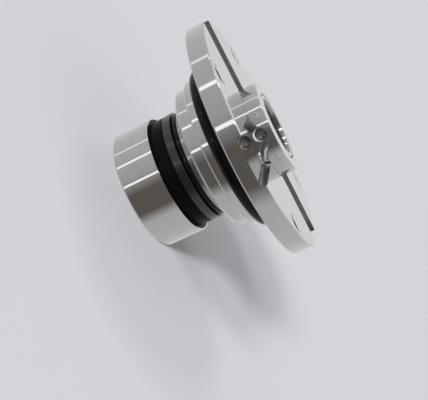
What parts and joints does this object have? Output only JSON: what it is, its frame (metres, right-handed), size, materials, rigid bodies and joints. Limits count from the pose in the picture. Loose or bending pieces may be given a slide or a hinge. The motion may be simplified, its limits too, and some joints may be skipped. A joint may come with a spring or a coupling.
{
  "type": "cartridge mechanical seal",
  "caption": "Cartridge mechanical seal: a flanged gland with crossed face channels holds a seat, and a pinned sleeve, spring-loaded face and screwed drive collar turn inside it.",
  "frame": {"origin": "on the shaft axis, in the plane of the face holder's end, on which the cartridge stands", "axes": "+Z along the shaft axis, from the pump side to the atmosphere side; the narrow channel of the gland plate runs along X and the wide one along Y"},
  "size_m": [0.15, 0.15, 0.093],
  "materials": {
    "gland_steel": "fine turned and polished stainless steel",
    "holder_steel": "polished turned stainless steel",
    "sleeve_steel": "turned stainless steel",
    "collar_steel": "turned stainless steel",
    "pin_steel": "ground stainless steel",
    "spring_wire": "drawn spring wire",
    "clip_steel": "stamped spring steel",
    "screw_steel": "bright stainless steel",
    "face_black": "matte black lapped seal-face material",
    "seat_ceramic": "ground dark grey ceramic with a soft gloss",
    "bush_carbon": "matte carbon",
    "seal_rubber": "glossy black fluoroelastomer"
  },
  "bodies": {
    "gland": {"gland_plate": "gland_steel", "gland_o_ring": "seal_rubber", "stationary_seat": "seat_ceramic", "seat_o_ring": "seal_rubber", "seat_pin_1": "pin_steel", "seat_pin_2": "pin_steel", "throttle_bush": "bush_carbon", "bush_clip": "clip_steel"},
    "rotor": {"shaft_sleeve": "sleeve_steel", "shaft_o_ring": "seal_rubber", "face_holder": "holder_steel", "drive_dowel_1": "pin_steel", "drive_dowel_2": "pin_steel", "drive_pin_1": "pin_steel", "drive_pin_2": "pin_steel", "drive_pin_3": "pin_steel", "spring_1": "spring_wire", "spring_2": "spring_wire", "spring_3": "spring_wire", "spring_4": "spring_wire", "spring_5": "spring_wire", "spring_6": "spring_wire", "drive_collar": "collar_steel", "collar_clip": "clip_steel"},
    "face": {"rotary_face": "face_black", "thrust_ring": "pin_steel", "face_o_ring": "seal_rubber"},
    "set_screw_1": {"set_screw_1": "screw_steel"},
    "set_screw_2": {"set_screw_2": "screw_steel"},
    "set_screw_3": {"set_screw_3": "screw_steel"}
  },
  "joints": [
    {"name": "rotor_spin", "type": "hinge", "parent": "gland", "child": "rotor", "pos_m": [0, 0, 0], "axis": [0, 0, 1], "continuous": true},
    {"name": "face_float", "type": "slide", "parent": "rotor", "child": "face", "axis": [0, 0, -1], "range_m": [0, 0.002], "stiffness_N_per_m": 9000, "springref_m": -0.002, "deforming": ["spring_1", "spring_2", "spring_3", "spring_4", "spring_5", "spring_6"]},
    {"name": "set_screw_1_travel", "type": "slide", "parent": "rotor", "child": "set_screw_1", "axis": [0.1564, 0.9877, 0], "range_m": [0, 0.0035]},
    {"name": "set_screw_2_travel", "type": "slide", "parent": "rotor", "child": "set_screw_2", "axis": [-0.9336, -0.3584, 0], "range_m": [0, 0.0035]},
    {"name": "set_screw_3_travel", "type": "slide", "parent": "rotor", "child": "set_screw_3", "axis": [0.7771, -0.6293, 0], "range_m": [0, 0.0035]}
  ]
}
